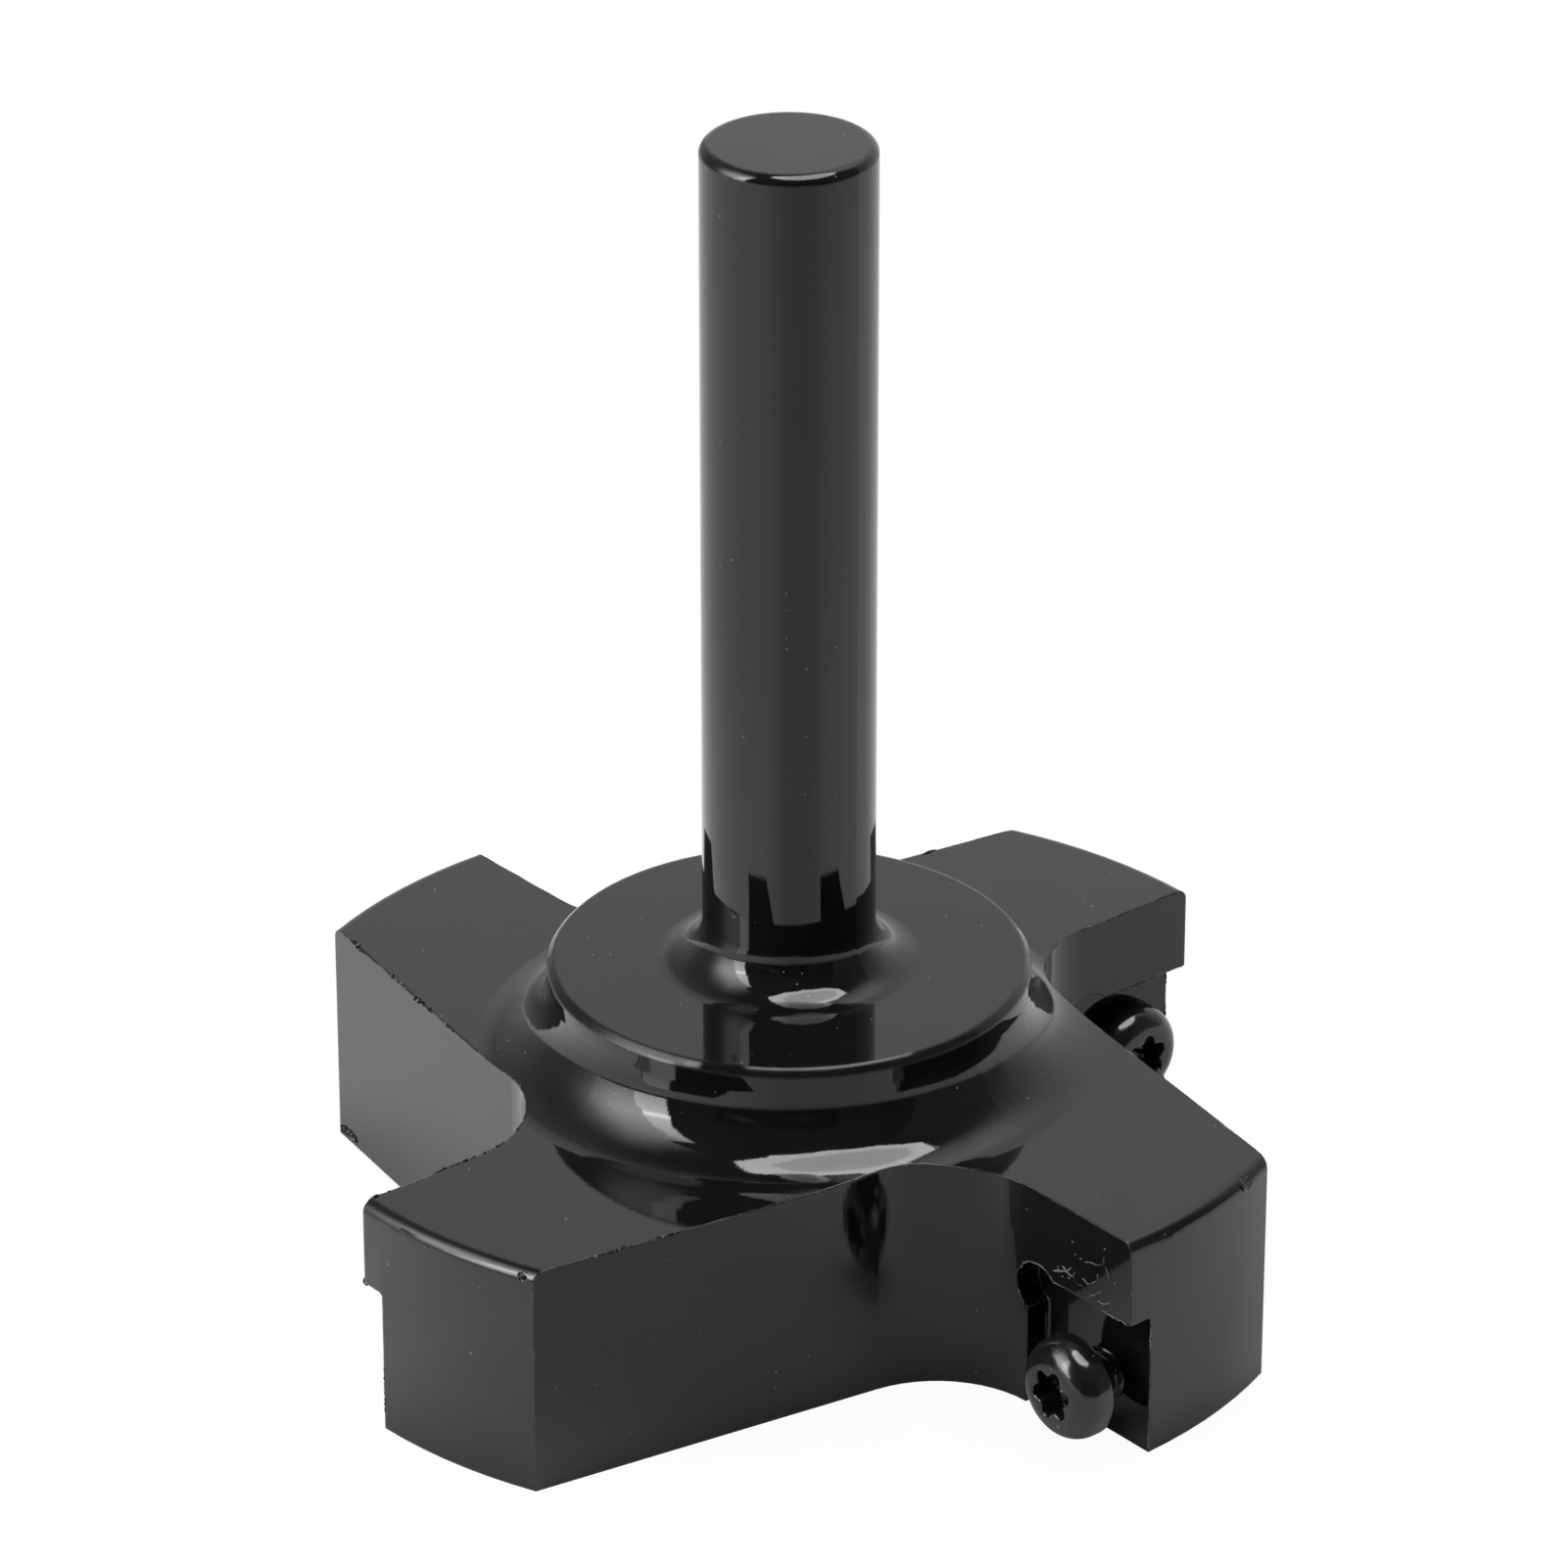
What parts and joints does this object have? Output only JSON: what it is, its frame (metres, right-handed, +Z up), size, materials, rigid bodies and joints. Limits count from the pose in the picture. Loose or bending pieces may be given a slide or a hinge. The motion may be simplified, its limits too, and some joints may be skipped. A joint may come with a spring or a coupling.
{
  "type": "surfacing router bit",
  "caption": "Surfacing router bit: a plain round shank on a hub with thick arms, round-rooted gullets between them and an empty insert seat on each arm, three of the four with their screw.",
  "frame": {"origin": "on the axis of the bit, in the plane of the arms' undersides", "axes": "+Z up the shank, +X along the first arm, whose screw is backed out"},
  "size_m": [0.0774, 0.0774, 0.0889],
  "materials": {
    "body": "gloss black over turned and milled steel",
    "screws": "dark, polished"
  },
  "bodies": {
    "root": {"cutter_body": "body", "insert_screw_1": "screws", "insert_screw_2": "screws", "insert_screw_3": "screws"}
  },
  "joints": []
}
